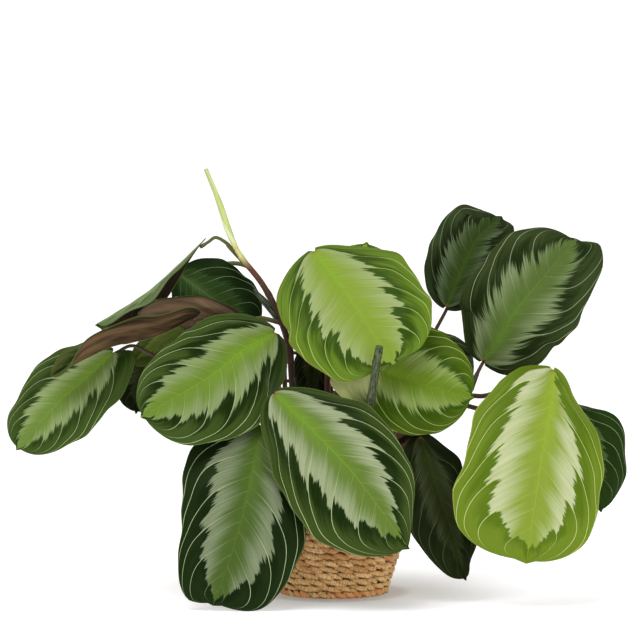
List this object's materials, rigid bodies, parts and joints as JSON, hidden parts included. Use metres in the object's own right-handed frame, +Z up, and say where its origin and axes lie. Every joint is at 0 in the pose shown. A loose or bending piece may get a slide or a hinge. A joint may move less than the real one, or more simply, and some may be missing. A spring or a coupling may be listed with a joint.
{
  "type": "potted prayer plant maranta",
  "caption": "Silver-banded prayer plant with arching stems and broad oval leaves, in a nursery pot inside a small braided basket planter.",
  "frame": {"origin": "centre of the basket's flat bottom, where the planter rests", "axes": "+Z up; +X to the right of a viewer who stands before the plant's display side, which faces -Y"},
  "size_m": [0.4286, 0.2248, 0.2976],
  "materials": {
    "leaf_green": "satin living leaf, pale midrib band and fine veins",
    "leaf_light_green": "satin living leaf, light green",
    "leaf_dark_green": "satin living leaf, dark green",
    "leaf_maroon": "satin living leaf turned to its maroon-brown underside",
    "stem_brown": "smooth green-brown stem",
    "shoot_yellow_green": "pale rolled young leaf",
    "braided_straw": "braided dry grass, matt",
    "black_plastic": "matt black",
    "earth": "dark crumbly potting mix",
    "grey_wood": "weathered grey-green stick"
  },
  "bodies": {
    "root": {"basket": "braided_straw", "nursery_pot": "black_plastic", "soil": "earth", "stake": "grey_wood", "stem_tall": "stem_brown", "stem_left": "stem_brown", "stem_front": "stem_brown", "stem_centre": "stem_brown", "stem_right": "stem_brown", "stem_right_tall": "stem_brown", "stem_low": "stem_brown", "stem_back": "stem_brown", "new_shoot": "shoot_yellow_green", "furled_leaf": "leaf_dark_green", "leaf_front_centre": "leaf_green", "leaf_front_low": "leaf_dark_green", "leaf_front_left": "leaf_green", "leaf_front_top": "leaf_light_green", "leaf_centre_right": "leaf_light_green", "leaf_right_low": "leaf_light_green", "leaf_right_upright": "leaf_dark_green", "leaf_right_back": "leaf_dark_green", "leaf_right_outer": "leaf_green", "leaf_centre_low": "leaf_dark_green", "leaf_centre_back": "leaf_dark_green", "leaf_centre_dark": "leaf_dark_green", "leaf_left_outer": "leaf_green", "leaf_left_dark": "leaf_dark_green", "leaf_left_small": "leaf_light_green", "leaf_left_long": "leaf_maroon", "leaf_left_folded": "leaf_maroon", "leaf_left_back": "leaf_dark_green", "leaf_left_high": "leaf_green", "leaf_back_top": "leaf_green", "leaf_back_left": "leaf_green", "leaf_back_low": "leaf_dark_green", "leaf_back_right": "leaf_green", "leaf_back_high": "leaf_light_green"}
  },
  "joints": []
}
